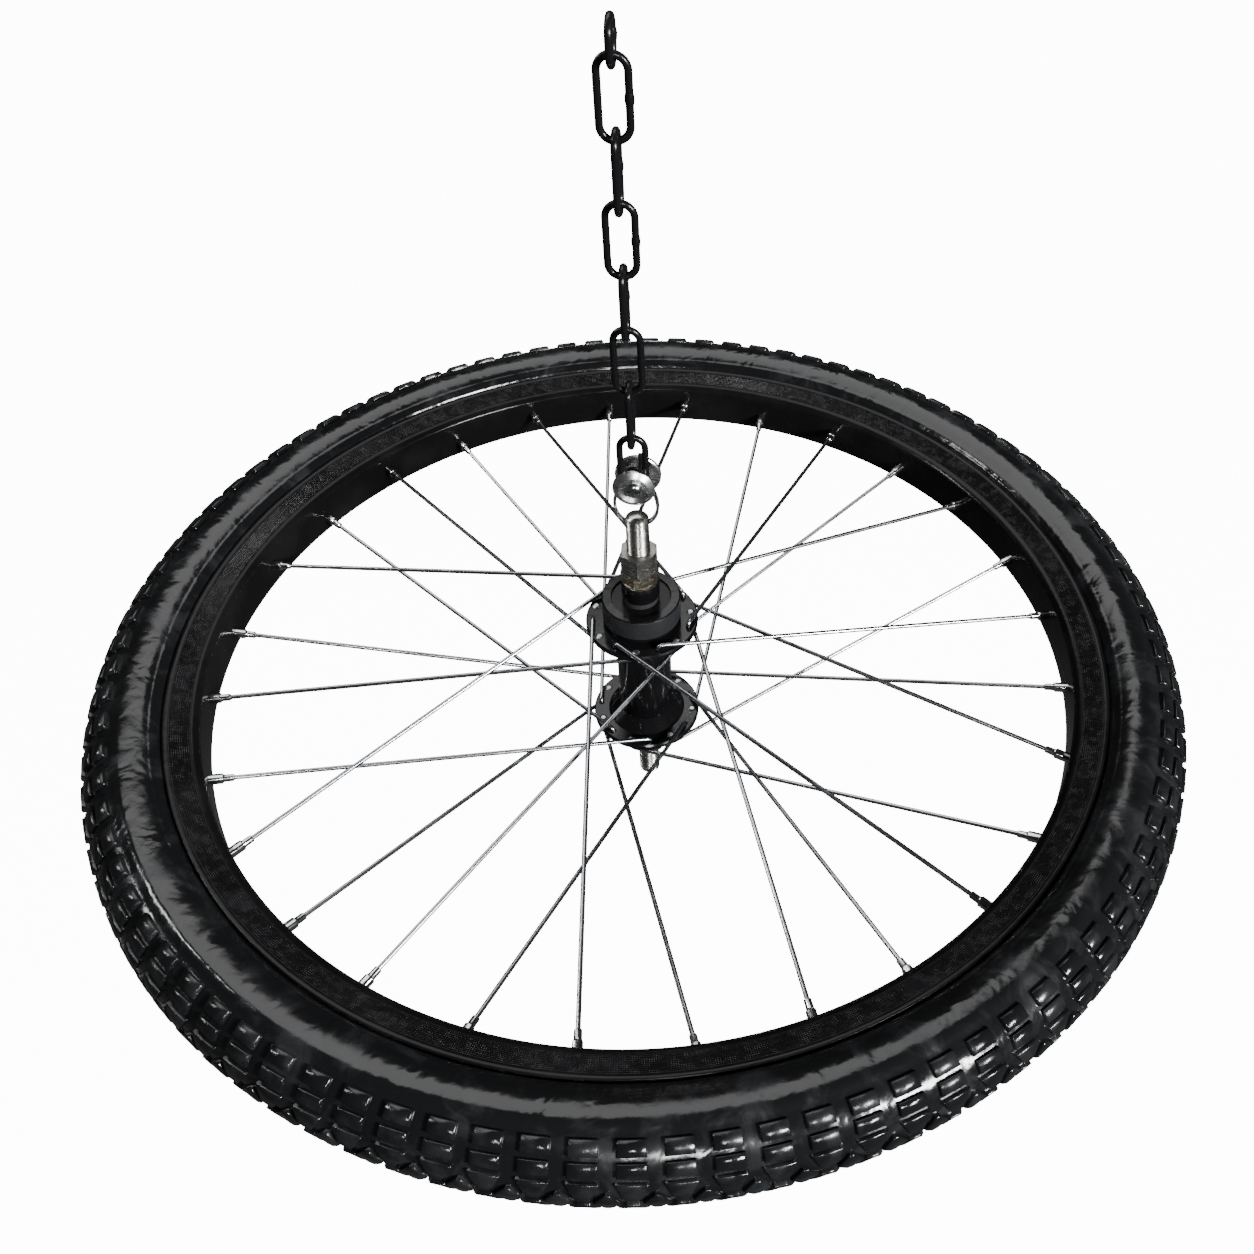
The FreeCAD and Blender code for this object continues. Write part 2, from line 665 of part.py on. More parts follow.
os.makedirs("parts", exist_ok=True)
chain()
connector()
split_ring()
axle_parts()
hub_parts()
spokes()
rim()
tyre()
print("wheel centre", round(wheel_place.y, 3), round(wheel_place.z, 3))
print("bolt height", round(bolt_height, 3), "cross hole height", round(axle_hole_height, 3))
print("first joint height", round(end_bow_low, 3), "link advance", round(link_advance, 3))
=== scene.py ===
"""Looks of the wheel swing: a 20 inch wheel with its tyre, hung flat from a short welded chain.

The packed model is the frame. The tyre, tread, rim, spokes, nipples and axle are finer surfaces that
replace their plain nodes. Chain, connector, split ring, nuts, hub and bearings keep their own meshes
and get a finish. Sizes are in metres. Wheel parts are worked out about the wheel's own centre.
"""
import math

import bpy
import numpy as np
from bpy.props import FloatProperty, FloatVectorProperty, IntProperty, PointerProperty
from mathutils import Euler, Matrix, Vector


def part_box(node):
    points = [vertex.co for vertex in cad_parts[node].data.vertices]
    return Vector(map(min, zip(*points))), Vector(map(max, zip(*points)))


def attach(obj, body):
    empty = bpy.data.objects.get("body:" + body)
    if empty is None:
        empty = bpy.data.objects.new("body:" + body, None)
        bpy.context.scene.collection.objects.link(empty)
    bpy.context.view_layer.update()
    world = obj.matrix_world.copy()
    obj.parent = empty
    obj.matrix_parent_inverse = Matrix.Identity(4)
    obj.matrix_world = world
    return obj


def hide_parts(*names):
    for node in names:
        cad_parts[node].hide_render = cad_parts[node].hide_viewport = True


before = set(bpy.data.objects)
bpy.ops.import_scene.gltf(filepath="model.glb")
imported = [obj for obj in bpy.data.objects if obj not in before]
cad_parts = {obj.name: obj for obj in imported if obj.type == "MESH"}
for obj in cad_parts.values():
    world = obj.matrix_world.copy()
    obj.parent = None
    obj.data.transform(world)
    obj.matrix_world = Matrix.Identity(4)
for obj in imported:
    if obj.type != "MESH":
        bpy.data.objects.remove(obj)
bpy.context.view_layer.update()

bl_info = {
    "name": "Wheel Swing",
    "version": (1, 0, 0),
    "blender": (4, 5, 0),
    "location": "View3D > Sidebar > Wheel Swing",
    "description": "Builds the finished surfaces of a wheel hung flat from a chain",
    "category": "Add Mesh",
}

RIM_LOW, RIM_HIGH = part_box("rim")
WHEEL_CENTRE = (RIM_LOW + RIM_HIGH) / 2
AXLE_LOW, AXLE_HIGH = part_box("axle")
TURN = 2 * math.pi
LINKS = 7
RUBBER_IOR = 1.4
PAINT_IOR = 1.3
ENAMEL_IOR = 1.35
DULL_PAINT_IOR = 1.22


# ---- settings ---------------------------------------------------------------------------------

def length(name, description, default):
    """Length property in metres."""
    return FloatProperty(name=name, description=description, default=default, unit="LENGTH",
                         subtype="DISTANCE", precision=5)


def angle(name, description, degrees):
    """Angle property, given in degrees and kept in radians."""
    return FloatProperty(name=name, description=description, default=math.radians(degrees),
                         unit="ROTATION", subtype="ANGLE")


def colour(name, description, default):
    """Linear colour property."""
    return FloatVectorProperty(name=name, description=description, default=default, size=3,
                               subtype="COLOR", min=0.0, max=1.0)


class TyreSettings(bpy.types.PropertyGroup):
    """Sizes and colour of the tyre and its tread blocks."""
    outer_radius: length("Outer radius", "Wheel centre to the top of the tread", 0.2455)
    half_width: length("Half width", "Mid-plane to the top of the widest block", 0.021)
    block_height: length("Block height", "How far a tread block stands out of the casing", 0.0017)
    block_count: IntProperty(name="Blocks", description="Tread blocks in one row", default=92, min=12)
    rubber: colour("Rubber", "Colour of the tyre's rubber", (0.0045, 0.0048, 0.0052))


class RimSettings(bpy.types.PropertyGroup):
    """Sizes and colour of the rim."""
    inner_radius: length("Inner radius", "Wheel centre to the rim's inner wall", 0.1955)
    outer_radius: length("Outer radius", "Wheel centre to the edge of the side walls", 0.2096)
    inner_half: length("Inner half width", "Mid-plane to the inner wall's edge", 0.0113)
    outer_half: length("Outer half width", "Mid-plane to the outer lip", 0.0152)
    knurl_pitch: length("Knurl pitch", "Distance between the knurl's diamonds", 0.0017)
    paint: colour("Paint", "Colour of the rim's paint", (0.0035, 0.0034, 0.0036))


class SpokeSettings(bpy.types.PropertyGroup):
    """Sizes of the hub flanges, the spokes and the nipples."""
    count: IntProperty(name="Spokes", description="Number of spokes", default=28, min=12)
    crossings: IntProperty(name="Crossings", description="Crossings of each spoke", default=3, min=1)
    first_angle: angle("First hole", "Angle of the rim hole that the numbers start from", 100.6)
    first_number: IntProperty(name="First number", description="Number of that rim hole", default=23)
    wire_radius: length("Wire radius", "Radius of a spoke", 0.001)
    head_radius: length("Head radius", "Radius of a spoke's head", 0.0018)
    head_sink: length("Head sink", "How deep a head sits in its flange", 0.00045)
    circle: length("Hole circle", "Radius of the circle of holes in a flange", 0.022)
    flange_half: length("Half flange", "Half the thickness of a flange", 0.0015)
    upper_flange: length("Upper flange", "Height of the upper flange over the mid-plane", 0.026)
    lower_flange: length("Lower flange", "Height of the lower flange over the mid-plane", -0.036)
    inner_run: length("Inner run", "Spoke's line from the flange's inner face", 0.0014)
    outer_run: length("Outer run", "Spoke's line from the flange's outer face", 0.003)
    stagger: length("Stagger", "Rim holes sit this far above or below the mid-plane", 0.0015)
    nipple_radius: length("Nipple radius", "Radius of a nipple's barrel", 0.002)
    nipple_stand: length("Nipple stand", "How far a nipple stands out of the rim", 0.01)
    nipple_head: length("Nipple head", "Radius of a nipple's head inside the rim", 0.0029)
    wire: colour("Wire", "Colour of the spoke wire", (0.42, 0.44, 0.46))
    plate: colour("Nipple plate", "Colour of the nipples", (0.62, 0.63, 0.64))


class AxleSettings(bpy.types.PropertyGroup):
    """Sizes of the threaded axle, heights from the wheel's mid-plane."""
    radius: length("Radius", "Crest radius of the thread", 0.005)
    pitch: length("Pitch", "Pitch of the thread", 0.001)
    depth: length("Depth", "Depth of the thread", 0.0005)
    chamfer: length("Chamfer", "Height and width of the end chamfer", 0.0016)
    upper_thread: length("Upper thread", "Height at which the bare upper thread starts", 0.064)
    lower_thread: length("Lower thread", "Height at which the bare lower thread starts", -0.060)
    hole_radius: length("Cross hole radius", "Radius of the hole for the split ring", 0.0023)
    hole_depth: length("Cross hole depth", "Axle's top to the cross hole's axis", 0.004)


class FinishSettings(bpy.types.PropertyGroup):
    """Colours of the pieces that keep their own shape."""
    chain: colour("Chain", "Black paint on the chain", (0.004, 0.004, 0.0045))
    zinc: colour("Zinc", "Zinc plate on the connector", (0.66, 0.67, 0.67))
    ring: colour("Split ring", "Bright plate on the split ring", (0.74, 0.74, 0.72))
    nut: colour("Nut", "Bare steel of the tall nut", (0.34, 0.33, 0.31))
    locknut: colour("Locknut", "Yellowish passivated zinc", (0.40, 0.36, 0.26))
    enamel: colour("Enamel", "Black enamel of the hub", (0.003, 0.003, 0.0034))
    bearing: colour("Bearing", "Ground steel of balls and races", (0.55, 0.55, 0.55))
    steel: colour("Axle", "Steel of the axle's thread", (0.50, 0.49, 0.46))
    oxide: colour("Cones", "Black oxide on the cones", (0.02, 0.02, 0.02))
    tab: colour("Tab washer", "Black oxide on the tab washer", (0.006, 0.006, 0.006))
    collar: colour("Collar", "Satin band on the hub's collar", (0.010, 0.0103, 0.0115))
    tape: colour("Rim tape", "Soft rubber of the rim tape", (0.03, 0.03, 0.03))
    bronze: colour("Bead wire", "Bronze coat on the bead wires", (0.5, 0.42, 0.28))


class StageSettings(bpy.types.PropertyGroup):
    """Backdrop, lights and camera."""
    backdrop_radius: length("Backdrop radius", "Size of the round backdrop", 4.0)
    backdrop_glow: FloatProperty(name="Backdrop glow", description="Brightness of the backdrop",
                                 default=13.0, min=0.0)
    camera_place: FloatVectorProperty(name="Camera place", description="From the wheel's centre",
                                      default=(0.0487, -0.39513, 0.43841), size=3,
                                      subtype="TRANSLATION", unit="LENGTH")
    camera_turn: FloatVectorProperty(
        name="Camera turn", description="Rotation about X, Y and Z", size=3, subtype="EULER",
        default=[math.radians(d) for d in (43.550, -0.797, 2.099)], unit="ROTATION")
    lens: FloatProperty(name="Focal length", description="Focal length in millimetres", default=36.4,
                        min=1.0, subtype="DISTANCE_CAMERA")
    shift: FloatProperty(name="Shift", description="Sideways shift of the lens", default=-0.0827)
    glow_below: FloatProperty(name="Glow below", description="Studio's light from below", default=1.9)
    glow_above: FloatProperty(name="Glow above", description="Studio's light from above", default=0.3)


SETTINGS = {"swing_tyre": TyreSettings, "swing_rim": RimSettings, "swing_spokes": SpokeSettings,
            "swing_axle": AxleSettings, "swing_finish": FinishSettings, "swing_stage": StageSettings}


# ---- surfaces ---------------------------------------------------------------------------------

def grid_faces(rows, columns, closed_rows, closed_columns, flip):
    """Corner indices of the quads of a grid of rows x columns points, as (faces, 4)."""
    i = np.arange(rows if closed_rows else rows - 1)[:, None]
    j = np.arange(columns if closed_columns else columns - 1)[None, :]
    below = (i + 1) % rows
    right = (j + 1) % columns
    quads = np.stack([i * columns + j, below * columns + j, below * columns + right,
                      i * columns + right], axis=-1).reshape(-1, 4)
    return quads[:, ::-1] if flip else quads


def add_object(name, points, faces, uv=None, centre=WHEEL_CENTRE, smooth_angle=None):
    """Mesh object from point and face arrays, its place in its mesh, smooth shaded."""
    mesh = bpy.data.meshes.new(name)
    mesh.from_pydata(np.asarray(points) + np.array(centre), [], faces)
    mesh.polygons.foreach_set("use_smooth", np.ones(len(mesh.polygons), dtype=bool))
    if uv is not None:
        layer = mesh.uv_layers.new(name="surface")
        layer.data.foreach_set("uv", np.asarray(uv, dtype=np.float32).ravel())
    if smooth_angle is not None:
        mesh.set_sharp_from_angle(angle=math.radians(smooth_angle))
    mesh.update()
    thing = bpy.data.objects.new(name, mesh)
    bpy.context.scene.collection.objects.link(thing)
    return thing


def rounded_outline(corners, steps=5):
    """Closed outline from (radius, height, reach) corners, each corner a parabola.

    The parabola from A to B with control point C is (1-t)^2 A + 2t(1-t) C + t^2 B, where A and B lie
    the corner's reach away from C towards its neighbours.
    """
    table = np.array(corners, dtype=float)
    corner = table[:, :2]
    back = np.roll(corner, 1, axis=0) - corner
    ahead = np.roll(corner, -1, axis=0) - corner
    back_run = np.linalg.norm(back, axis=1)
    ahead_run = np.linalg.norm(ahead, axis=1)
    reach = np.minimum(table[:, 2], 0.45 * np.minimum(back_run, ahead_run))[:, None]
    start = corner + back / back_run[:, None] * reach
    end = corner + ahead / ahead_run[:, None] * reach
    t = np.linspace(0, 1, steps)[None, :, None]
    curve = (1 - t) ** 2 * start[:, None] + 2 * t * (1 - t) * corner[:, None] + t ** 2 * end[:, None]
    return curve.reshape(-1, 2)


def revolved(name, outline, count, smooth_angle=None):
    """Closed (radius, height) outline, anticlockwise, turned once round the wheel's axis.

    Point(a, k) = (r_k cos a, r_k sin a, h_k). The UV map holds the arc length round the wheel at the
    outline's mean radius and the length along the outline, both in metres.
    """
    turn = np.linspace(0, TURN, count, endpoint=False)[:, None]
    radius, height = outline[:, 0][None, :], outline[:, 1][None, :]
    points = np.stack([radius * np.cos(turn), radius * np.sin(turn),
                       height + 0 * turn], axis=-1).reshape(-1, 3)
    columns = len(outline)
    faces = grid_faces(count, columns, True, True, False)
    steps = np.linalg.norm(np.roll(outline, -1, axis=0) - outline, axis=1)
    along = np.concatenate([[0], np.cumsum(steps)])
    round_step = TURN * outline[:, 0].mean() / count
    i, j = np.divmod(np.arange(count * columns), columns)
    u = np.stack([i, i + 1, i + 1, i], axis=1) * round_step
    v = np.stack([along[j], along[j], along[j + 1], along[j + 1]], axis=1)
    return add_object(name, points, faces, np.stack([u, v], axis=-1), smooth_angle=smooth_angle)


def wires(name, paths, radii, across, sides, squareness=None, smooth_angle=None):
    """Closed wires along paths of shape (wires, points, 3) that each lie in one plane.

    A ring's point is P + r k (cos a N + sin a B), where B is the normal of the wire's plane, N is
    B x T and T the path's direction. k = (|cos a|^p + |sin a|^p)^(-1/p) makes the section round at
    p = 2 and squarer above it.
    """
    tangent = np.gradient(paths, axis=1)
    tangent /= np.linalg.norm(tangent, axis=2, keepdims=True)
    side = np.broadcast_to(across[:, None, :], paths.shape)
    normal = np.cross(side, tangent)
    a = np.linspace(0, TURN, sides, endpoint=False)
    power = np.full(paths.shape[1], 2.0) if squareness is None else np.asarray(squareness, float)
    blend = np.abs(np.cos(a))[None, :] ** power[:, None] + np.abs(np.sin(a))[None, :] ** power[:, None]
    reach = (np.asarray(radii)[:, None] * blend ** (-1 / power[:, None]))[None, :, :, None]
    ring = (np.cos(a)[None, None, :, None] * normal[:, :, None, :]
            + np.sin(a)[None, None, :, None] * side[:, :, None, :])
    points = paths[:, :, None, :] + reach * ring
    wire_count, rows = paths.shape[:2]
    one = grid_faces(rows, sides, False, True, True)
    offset = (np.arange(wire_count) * rows * sides)[:, None, None]
    quads = (one[None] + offset).reshape(-1, 4).tolist()
    first = np.arange(sides)[None, :] + offset[:, 0]
    last = first[:, ::-1] + (rows - 1) * sides
    caps = np.concatenate([first, last]).tolist()
    return add_object(name, points.reshape(-1, 3), quads + caps, smooth_angle=smooth_angle)


def finish_piece(piece, body, slot, material, *nodes):
    """Give a new piece its material and body, and let it stand for its nodes; the slot argument is not
    used.
    """
    piece.data.materials.clear()
    piece.data.materials.append(material)
    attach(piece, body)
    if nodes:
        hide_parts(*nodes)


def finish_nodes(material, *nodes):
    """Put a material on every slot of some carried-over nodes."""
    for node in nodes:
        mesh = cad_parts[node].data
        mesh.materials.clear()
        mesh.materials.append(material)


# ---- shader maths -----------------------------------------------------------------------------

class Signal:
    """One socket of a node tree, so that shader maths reads as arithmetic."""

    def __init__(self, tree, socket):
        self.tree = tree
        self.socket = socket

    def make(self, kind, settings=None, output=0, **inputs):
        """Add a node: its settings, then values or links of its inputs, by name or as _index."""
        node = self.tree.nodes.new(kind)
        for key, value in (settings or {}).items():
            setattr(node, key, value)
        for key, value in inputs.items():
            index = int(key[1:]) if key[0] == "_" else key.replace("_", " ")
            socket = node.inputs[index]
            if isinstance(value, Signal):
                self.tree.links.new(value.socket, socket)
            else:
                socket.default_value = value
        return Signal(self.tree, node.outputs[output])

    def maths(self, operation, other=0.0):
        """Math node on this value."""
        return self.make("ShaderNodeMath", {"operation": operation}, _0=self, _1=other)

    def __add__(self, other):
        return self.maths("ADD", other)

    def __radd__(self, other):
        return self.maths("ADD", other)

    def __sub__(self, other):
        return self.maths("SUBTRACT", other)

    def __rsub__(self, other):
        return (self * -1.0) + other

    def __mul__(self, other):
        return self.maths("MULTIPLY", other)

    def __rmul__(self, other):
        return self.maths("MULTIPLY", other)

    def sine(self):
        """Sine of this value."""
        return self.maths("SINE")

    def step(self, low, high):
        """0 below low, 1 above high, smooth between them."""
        return self.make("ShaderNodeMapRange", {"interpolation_type": "SMOOTHSTEP"}, Value=self,
                         From_Min=low, From_Max=high)

    def spread(self, low, high):
        """A value from 0 to 1 spread between two numbers."""
        return self.make("ShaderNodeMapRange", {}, Value=self, To_Min=low, To_Max=high)

    def mix(self, first, second):
        """Colour between two colours, by this value."""
        return self.make("ShaderNodeMix", {"data_type": "RGBA"}, output=2, _0=self,
                         _6=first, _7=second)

    def bump(self, depth, strength=1.0, under=None):
        """Normal from this height, whose range of 1 is depth metres, over another normal."""
        more = {"Normal": under} if under else {}
        return self.make("ShaderNodeBump", {}, Height=self, Distance=depth, Strength=strength, **more)


def start_material(name):
    """Empty Principled material: its shader node and a first signal, its Object coordinates."""
    material = bpy.data.materials.new(name)
    material.use_nodes = True
    tree = material.node_tree
    shader = tree.nodes["Principled BSDF"]
    place = Signal(tree, tree.nodes.new("ShaderNodeTexCoord").outputs["Object"])
    return material, shader, place


def feed(shader, **inputs):
    """Set or link sockets of a shader node; an underscore stands for a space."""
    for key, value in inputs.items():
        socket = shader.inputs[key.replace("_", " ")]
        if isinstance(value, Signal):
            value.tree.links.new(value.socket, socket)
        elif isinstance(value, (tuple, list)) or hasattr(value, "__len__"):
            socket.default_value = (*value, 1.0)[:4]
        else:
            socket.default_value = value


def noise(place, size, detail=3.0, roughness=0.55, distortion=0.0):
    """Noise with features of about one size, in metres."""
    return place.make("ShaderNodeTexNoise", {}, Vector=place, Scale=1 / size, Detail=detail,
                      Roughness=roughness, Distortion=distortion)


def shade(tone, factor):
    """Colour times a factor, as four channels."""
    return (tone[0] * factor, tone[1] * factor, tone[2] * factor, 1.0)


# ---- materials --------------------------------------------------------------------------------

def tyre_rubber(tone):
    """Glossy black rubber: broad ripples, scuffs, paler patches of painted sheen that also vary the
    gloss, and fine grain.
    """
    material, shader, place = start_material("tyre_rubber")
    ripple = noise(place, 0.014, 2.0, 0.5, 0.6)
    scuff = noise(place, 0.0035, 4.0, 0.65, 1.2)
    grain = noise(place, 0.0004, 2.0)
    # Painted sheen: paler patches in the rubber's colour stand in for reflections on the glossy tyre;
    # the same patches also raise the roughness.
    paler_patches = noise(place, 0.022, 5.0, 0.62, 0.8).step(0.46, 0.66)
    tint = paler_patches.mix(shade(tone, 1.0), shade(tone, 2.6))
    rough = paler_patches.spread(0.13, 0.24) + scuff.spread(-0.03, 0.04)
    broad = ripple.bump(0.0013, 0.5)
    worn = scuff.bump(0.00012, 0.4, broad)
    feed(shader, Base_Color=tint, Roughness=rough, IOR=RUBBER_IOR,
         Normal=grain.bump(0.00001, 0.4, worn))
    return material


def tread_rubber(tone):
    """The same rubber on the blocks, with moulded skin and worn tops."""
    material, shader, place = start_material("tread_rubber")
    scuff = noise(place, 0.0028, 4.0, 0.65, 1.0)
    grain = noise(place, 0.0005, 2.0)
    worn = noise(place, 0.012, 4.0).step(0.45, 0.62)
    tint = worn.mix(shade(tone, 1.0), shade(tone, 2.0))
    rough = worn.spread(0.13, 0.26) + scuff.spread(-0.04, 0.06)
    skin = scuff.bump(0.0002, 0.5)
    feed(shader, Base_Color=tint, Roughness=rough, IOR=RUBBER_IOR,
         Normal=grain.bump(0.00001, 0.4, skin))
    return material


def knurled_paint(tone, pitch, wall_start, wall_end):
    """Gloss black rim paint; its slanted sides carry a diamond knurl with painted glints on some
    diamond tips.

    The knurl's height is sin(k(u+v)) sin(k(u-v)) of the surface's own UV map, in metres.
    """
    material, shader, place = start_material("knurled_rim_paint")
    flat = place.make("ShaderNodeUVMap", {"uv_map": "surface"})
    u = flat.make("ShaderNodeSeparateXYZ", {}, Vector=flat)
    v = Signal(u.tree, u.socket.node.outputs[1])
    wave = TURN / pitch
    diamonds = ((u + v) * wave).sine() * ((u - v) * wave).sine()
    height = place.make("ShaderNodeSeparateXYZ", {}, output=2, Vector=place) - WHEEL_CENTRE.z
    inside = height.maths("ABSOLUTE")
    fade = 0.0006
    mask = (inside.step(wall_start, wall_start + fade)
            * (1 - inside.step(wall_end - fade, wall_end)))
    # Painted glints: pale grey on some diamond tips stands in for highlights on the knurl.
    painted_glint = diamonds.step(0.72, 0.95) * noise(place, 0.004, 3.0).step(0.46, 0.62) * mask
    stain = noise(place, 0.03, 4.0).step(0.4, 0.7)
    tint = painted_glint.mix(stain.mix(shade(tone, 1.0), shade(tone, 1.8)), (0.12, 0.12, 0.13, 1.0))
    rough = mask.spread(0.18, 0.26) + stain.spread(-0.03, 0.06)
    knurl = (diamonds * mask).bump(0.00022, 0.9)
    lump = noise(place, 0.006, 2.0).bump(0.0003, 0.35, knurl)
    feed(shader, Base_Color=tint, Roughness=rough, IOR=DULL_PAINT_IOR, Normal=lump)
    return material


def gloss_paint(name, tone, lump, depth, rough):
    """Thick gloss paint: lumps of one size, fine dust specks and slightly uneven gloss."""
    material, shader, place = start_material(name)
    lumps = noise(place, lump, 2.0, 0.5, 0.3)
    fine = noise(place, lump / 7, 3.0)
    chips = noise(place, lump * 1.7, 5.0, 0.7).step(0.62, 0.70)
    tint = chips.mix(shade(tone, 1.0), shade(tone, 2.4))
    feed(shader, Base_Color=tint, Roughness=fine.spread(rough - 0.06, rough + 0.1) + chips * 0.1,
         IOR=PAINT_IOR, Normal=fine.bump(depth / 6, 0.4, lumps.bump(depth, 0.5)))
    return material


def hub_enamel(tone, collar_tone, low, high, radius):
    """Gloss enamel with a satin, greyer band on the collar between two heights."""
    material, shader, place = start_material("hub_enamel")
    lumps = noise(place, 0.004, 2.0, 0.5, 0.3)
    fine = noise(place, 0.0006, 3.0)
    height = place.make("ShaderNodeSeparateXYZ", {}, output=2, Vector=place) - WHEEL_CENTRE.z
    flat = place.make("ShaderNodeMapping", {}, Vector=place, Scale=(1.0, 1.0, 0.0),
                      Location=(-WHEEL_CENTRE.x, -WHEEL_CENTRE.y, 0.0))
    reach = flat.make("ShaderNodeVectorMath", {"operation": "LENGTH"}, output=1, _0=flat)
    band = height.step(low, low + 0.0003) * (1 - height.step(high - 0.0003, high))
    band = band * reach.step(radius - 0.0004, radius - 0.0001)
    feed(shader, Base_Color=band.mix(shade(tone, 1.0), shade(collar_tone, 1.0)),
         Roughness=fine.spread(0.08, 0.2) + band * 0.36, IOR=ENAMEL_IOR,
         Normal=fine.bump(0.000015, 0.4, lumps.bump(0.00006, 0.5)))
    return material


def worked_metal(name, tone, rough, line, depth):
    """Bare or plated metal: tool lines round the Z axis, stains and slightly uneven gloss."""
    material, shader, place = start_material(name)
    stretch = place.make("ShaderNodeMapping", {}, Vector=place, Scale=(0.12, 0.12, 1.0))
    lines = noise(stretch, line, 3.0, 0.6)
    cloud = noise(place, line * 12, 4.0, 0.6)
    spots = noise(place, line * 5, 5.0, 0.7).step(0.56, 0.68)
    stain = cloud.step(0.42, 0.66) * 0.7 + spots * 0.3
    feed(shader, Base_Color=stain.mix(shade(tone, 1.0), shade(tone, 0.62)),
         Roughness=lines.spread(rough - 0.08, rough + 0.1) + spots * 0.08, Metallic=1.0,
         Normal=lines.bump(depth, 0.4))
    return material


def soft_rubber(name, tone):
    """Dull soft rubber with a dusty grain."""
    material, shader, place = start_material(name)
    grain = noise(place, 0.0012, 4.0)
    paler_patches = noise(place, 0.01, 3.0).step(0.4, 0.7)
    feed(shader, Base_Color=paler_patches.mix(shade(tone, 1.0), shade(tone, 1.6)),
         Roughness=grain.spread(0.6, 0.8), Normal=grain.bump(0.0001, 0.5))
    return material


# ---- pieces -----------------------------------------------------------------------------------

def casing_section(tyre, rim):
    """Closed anticlockwise outline of the tyre: outside arc, bead feet and lining.

    The outside is c + s(f) (cos f, sin f) with s(f) the block-free radius under the tread, swelling
    to the full half width on the side walls, with a low ridge beside the rim.
    """
    wall_start, wall_run = math.radians(72), math.radians(16)
    ridge_at, ridge_width, ridge_height = math.radians(124), math.radians(1.6), 0.0004
    wall_sink = 0.0005
    lining_depth, lining_squash = 0.0052, 0.9
    middle = tyre.outer_radius - tyre.half_width
    reach = math.acos((rim.outer_radius + 0.0008 - middle) / tyre.half_width)
    f = np.linspace(-reach, reach, 92)
    side = np.clip((np.abs(f) - wall_start) / wall_run, 0, 1)
    side = side * side * (3 - 2 * side)
    ridge = np.exp(-((np.abs(f) - ridge_at) / ridge_width) ** 2)
    s = (tyre.half_width - tyre.block_height + side * (tyre.block_height - wall_sink)
         + ridge_height * ridge)
    outside = np.stack([middle + s * np.cos(f), s * np.sin(f)], axis=1)
    g = np.linspace(reach, -reach, 30)
    inner = tyre.half_width - lining_depth
    lining = np.stack([middle + inner * np.cos(g), inner * np.sin(g) * lining_squash], axis=1)
    foot = np.array([(0.2101, 0.0124), (0.2060, 0.0109), (0.2016, 0.0100), (0.2016, 0.0064),
                     (0.2060, 0.0064)])
    return np.concatenate([outside, foot, lining, foot[::-1] * (1, -1)])


def tread_block(turn, rise, half_turn, half_rise, tyre, taper):
    """Points of one kind of block for all its places: a raised patch on the casing.

    The patch runs over a, b in -1..1. Its angle round the wheel is turn + a half_turn w(b), its angle
    round the section rise + b half_rise, and it stands height h(max(|a|, |b|)) out of the casing:
    steep at the edge with a small round, a little hollow on top, and sunk below the casing at the rim.
    """
    knots = np.array([-1.0, -0.965, -0.86, 0.0, 0.86, 0.965, 1.0])
    a, b = np.meshgrid(knots, knots, indexing="ij")
    edge = np.maximum(np.abs(a), np.abs(b))
    stand = tyre.block_height * np.interp(edge, [0, 0.86, 0.965, 1.0], [0.93, 1.0, 0.72, -0.5])
    width = taper(b)
    around = turn[:, None, None] + (a * half_turn * width)[None]
    section = rise + (b * half_rise)[None] + 0 * around
    middle = tyre.outer_radius - tyre.half_width
    s = tyre.half_width - tyre.block_height + stand[None]
    radius = middle + s * np.cos(section)
    points = np.stack([radius * np.cos(around), radius * np.sin(around), s * np.sin(section)], axis=-1)
    return points.reshape(len(turn), -1, 3)


def tread_faces(blocks, sides):
    """Quads of every block's patch and one face that closes it underneath."""
    one = grid_faces(sides, sides, False, False, False)
    index = np.arange(sides * sides).reshape(sides, sides)
    loop = np.concatenate([index[0, :-1], index[:-1, -1], index[-1, :0:-1], index[:0:-1, 0]])
    offset = np.arange(blocks) * sides * sides
    quads = (one[None] + offset[:, None, None]).reshape(-1, 4).tolist()
    floors = (loop[None] + offset[:, None]).tolist()
    return quads + floors


def square_block(b):
    """Width of a block that keeps its full width."""
    return 1.0 + 0.0 * b


def upper_shield(b):
    """Width of a block that widens upwards."""
    return 0.68 + 0.32 * b


def lower_shield(b):
    """Width of a block that widens downwards."""
    return 0.68 - 0.32 * b


def diamond(b):
    """Width of a block that is widest in the middle."""
    return 1.0 - 0.88 * np.abs(b)


class SWING_OT_tyre(bpy.types.Operator):
    """Build the tyre's casing"""
    bl_idname = "swing.tyre"
    bl_label = "Tyre casing"

    def execute(self, context):
        tyre, rim = context.scene.swing_tyre, context.scene.swing_rim
        bronze = context.scene.swing_finish.bronze
        casing = revolved("tyre_casing", casing_section(tyre, rim), 540, smooth_angle=60)
        finish_piece(casing, "wheel", "tyre_rubber", tyre_rubber(tyre.rubber), "tyre")
        finish_nodes(worked_metal("bead_wire", bronze, 0.3, 0.0005, 0.00003), "bead_wires")
        return {"FINISHED"}


